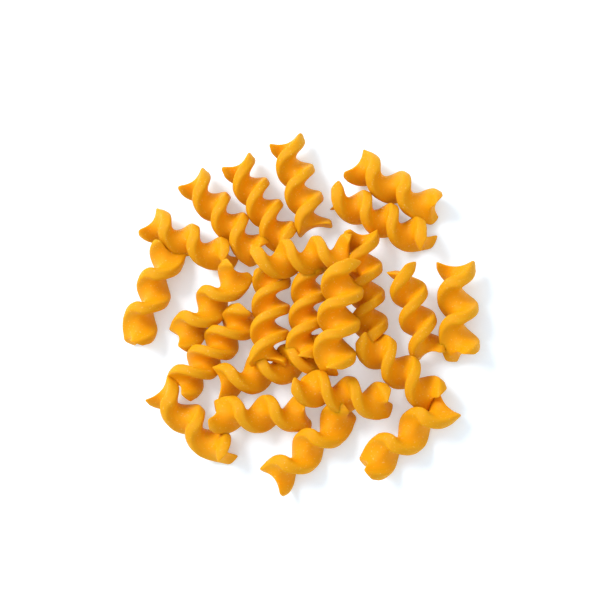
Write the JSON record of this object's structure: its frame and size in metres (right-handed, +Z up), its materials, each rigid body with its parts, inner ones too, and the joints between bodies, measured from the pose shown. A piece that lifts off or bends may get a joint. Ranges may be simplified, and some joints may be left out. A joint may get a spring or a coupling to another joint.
{
  "type": "heap of dry pasta twists",
  "caption": "Loose heap of short dry pasta screws, two vanes each, lying as they fell and fused where they touch.",
  "frame": {"origin": "middle of the heap's outline, on the surface that it lies on", "axes": "+Z up from that surface, +Y away from the near edge of the heap as the picture shows it, +X to the picture's right"},
  "size_m": [0.129, 0.1306, 0.0244],
  "materials": {
    "dry_pasta": "satin dry durum dough, amber yellow"
  },
  "bodies": {
    "root": {"pasta_heap": "dry_pasta"}
  },
  "joints": []
}
